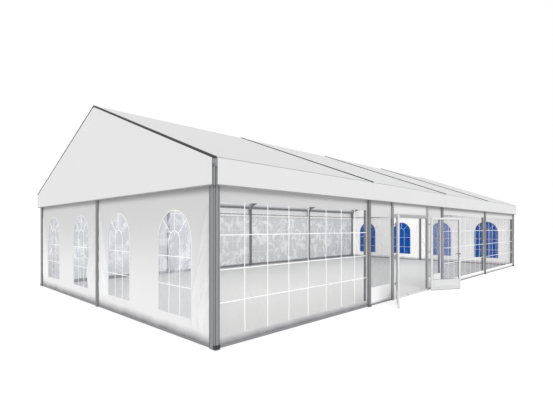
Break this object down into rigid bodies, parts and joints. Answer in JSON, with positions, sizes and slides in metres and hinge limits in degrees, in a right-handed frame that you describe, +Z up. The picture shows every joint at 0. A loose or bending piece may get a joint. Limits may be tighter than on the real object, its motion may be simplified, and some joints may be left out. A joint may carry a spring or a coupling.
{
  "type": "marquee tent",
  "caption": "Clear-span marquee with white fabric roof and walls on a metal frame, film windows, a glazed double door and a floor deck.",
  "frame": {"origin": "on the ground under the middle of the floor deck", "axes": "+X along the length towards the far gable, -Y out through the double door, +Z up"},
  "size_m": [20.2566, 10.9259, 5.249],
  "materials": {
    "frame_aluminium": "satin anodised",
    "roof_fabric": "coated, semi-matt white",
    "gable_fabric": "coated, semi-matt white",
    "wall_fabric": "coated, semi-matt white",
    "clear_film": "soft clear film, glossy",
    "blue_film": "soft blue film, glossy",
    "door_frame_aluminium": "satin anodised",
    "door_white_metal": "satin white",
    "door_glass": "clear, polished",
    "deck_board": "matt light grey"
  },
  "bodies": {
    "tent": {"front_post_1": "frame_aluminium", "front_post_2": "frame_aluminium", "front_post_3": "frame_aluminium", "front_post_4": "frame_aluminium", "front_post_5": "frame_aluminium", "back_post_1": "frame_aluminium", "back_post_2": "frame_aluminium", "back_post_3": "frame_aluminium", "back_post_4": "frame_aluminium", "back_post_5": "frame_aluminium", "rafter_pair_1": "frame_aluminium", "rafter_pair_2": "frame_aluminium", "rafter_pair_3": "frame_aluminium", "rafter_pair_4": "frame_aluminium", "rafter_pair_5": "frame_aluminium", "near_gable_post": "frame_aluminium", "far_gable_post": "frame_aluminium", "curtain_rail": "frame_aluminium", "front_eave_purlin": "frame_aluminium", "back_eave_purlin": "frame_aluminium", "ridge_purlin": "frame_aluminium", "roof_cover_1": "roof_fabric", "roof_cover_2": "roof_fabric", "roof_cover_3": "roof_fabric", "roof_cover_4": "roof_fabric", "near_gable_panel": "gable_fabric", "far_gable_panel": "gable_fabric", "front_wall_1": "wall_fabric", "front_wall_3": "wall_fabric", "front_wall_4": "wall_fabric", "back_wall_1": "wall_fabric", "back_wall_2": "wall_fabric", "back_wall_3": "wall_fabric", "back_wall_4": "wall_fabric", "near_gable_wall_front": "wall_fabric", "near_gable_wall_back": "wall_fabric", "far_gable_wall_front": "wall_fabric", "far_gable_wall_back": "wall_fabric", "door_side_wall_left": "wall_fabric", "door_side_wall_right": "wall_fabric", "front_window_1": "clear_film", "front_window_3": "clear_film", "front_window_4": "clear_film", "back_window_1": "clear_film", "back_window_2": "clear_film", "back_window_3": "clear_film", "back_window_4": "clear_film", "near_gable_window_front": "clear_film", "near_gable_window_back": "clear_film", "door_side_window_left": "clear_film", "door_side_window_right": "clear_film", "far_gable_window_front": "blue_film", "far_gable_window_back": "blue_film", "door_frame": "door_frame_aluminium", "floor_deck": "deck_board"},
    "left_leaf": {"left_door_leaf": "door_white_metal", "left_leaf_glass": "door_glass"},
    "right_leaf": {"right_door_leaf": "door_white_metal", "right_leaf_glass": "door_glass"}
  },
  "joints": [
    {"name": "left_door_hinge", "type": "hinge", "parent": "tent", "child": "left_leaf", "pos_m": [-3.699, -5.13, 1.2], "axis": [0, 0, 1], "range_deg": [-8, 152]},
    {"name": "right_door_hinge", "type": "hinge", "parent": "tent", "child": "right_leaf", "pos_m": [-1.301, -5.13, 1.2], "axis": [0, 0, 1], "range_deg": [-152, 8]}
  ]
}
